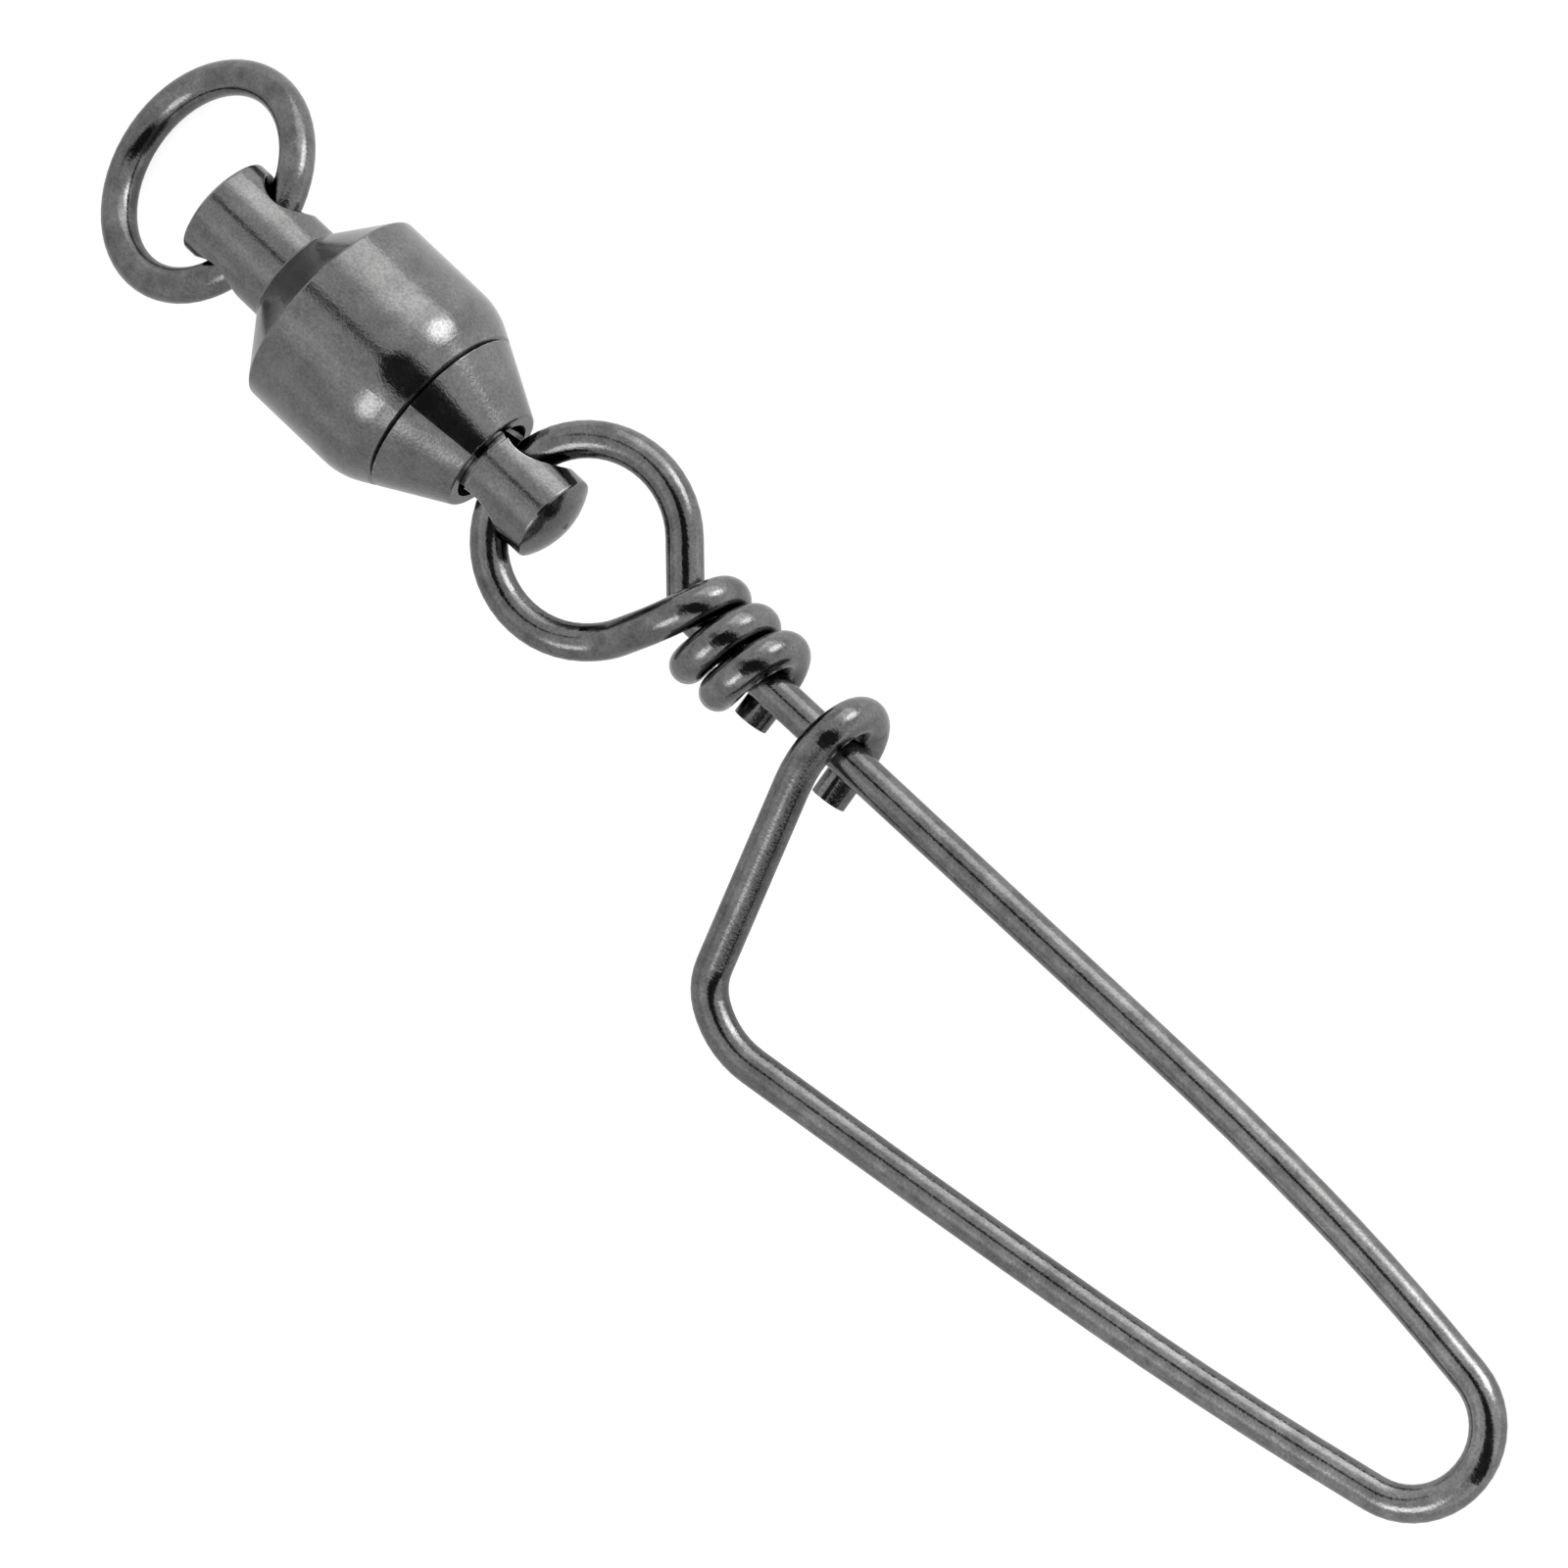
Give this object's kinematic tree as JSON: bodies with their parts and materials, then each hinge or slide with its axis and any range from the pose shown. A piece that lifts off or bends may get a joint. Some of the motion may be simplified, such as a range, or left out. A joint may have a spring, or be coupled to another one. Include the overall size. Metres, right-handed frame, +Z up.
{
  "type": "fishing snap swivel",
  "caption": "Swivel with a split barrel over a ball race, a line ring in its fixed eye and a bent wire snap with a coil and an over-leg hook in its turning eye.",
  "frame": {"origin": "centre of the footprint on the table, at the height of the table top the object rests on", "axes": "+X along the swivel's turning axis from the line ring towards the snap's bottom bend, +Z up away from the table, +Y towards the snap's long straight leg"},
  "size_m": [0.0722, 0.0152, 0.0084],
  "materials": {
    "barrel": "satin",
    "end_cap": "satin",
    "shank": "satin",
    "ring": "satin",
    "snap_wire": "satin",
    "balls": "polished"
  },
  "bodies": {
    "swivel_body": {"barrel": "barrel", "end_cap": "end_cap"},
    "ring": {"ring": "ring"},
    "ball_train": {"ball_01": "balls", "ball_02": "balls", "ball_03": "balls", "ball_04": "balls", "ball_05": "balls", "ball_06": "balls", "ball_07": "balls", "ball_08": "balls", "ball_09": "balls", "ball_10": "balls", "ball_11": "balls", "ball_12": "balls"},
    "shank": {"shank": "shank"},
    "snap": {"snap_wire": "snap_wire"}
  },
  "joints": [
    {"name": "ring_swing", "type": "hinge", "parent": "swivel_body", "child": "ring", "pos_m": [-0.02848, 0.00284, 0.0042], "axis": [0, 1, 0], "range_deg": [-110, 160]},
    {"name": "shank_spin", "type": "hinge", "parent": "swivel_body", "child": "shank", "pos_m": [-0.02148, 0.00284, 0.0042], "axis": [1, 0, 0], "continuous": true},
    {"name": "ball_train_spin", "type": "hinge", "parent": "swivel_body", "child": "ball_train", "pos_m": [-0.02148, 0.00284, 0.0042], "axis": [1, 0, 0], "continuous": true},
    {"name": "snap_swing", "type": "hinge", "parent": "shank", "child": "snap", "pos_m": [-0.01523, 0.00284, 0.0042], "axis": [0, 1, 0], "range_deg": [-89, 81]}
  ],
  "couplings": [
    {"joint": "ball_train_spin", "follows": "shank_spin", "ratio": 0.5}
  ]
}
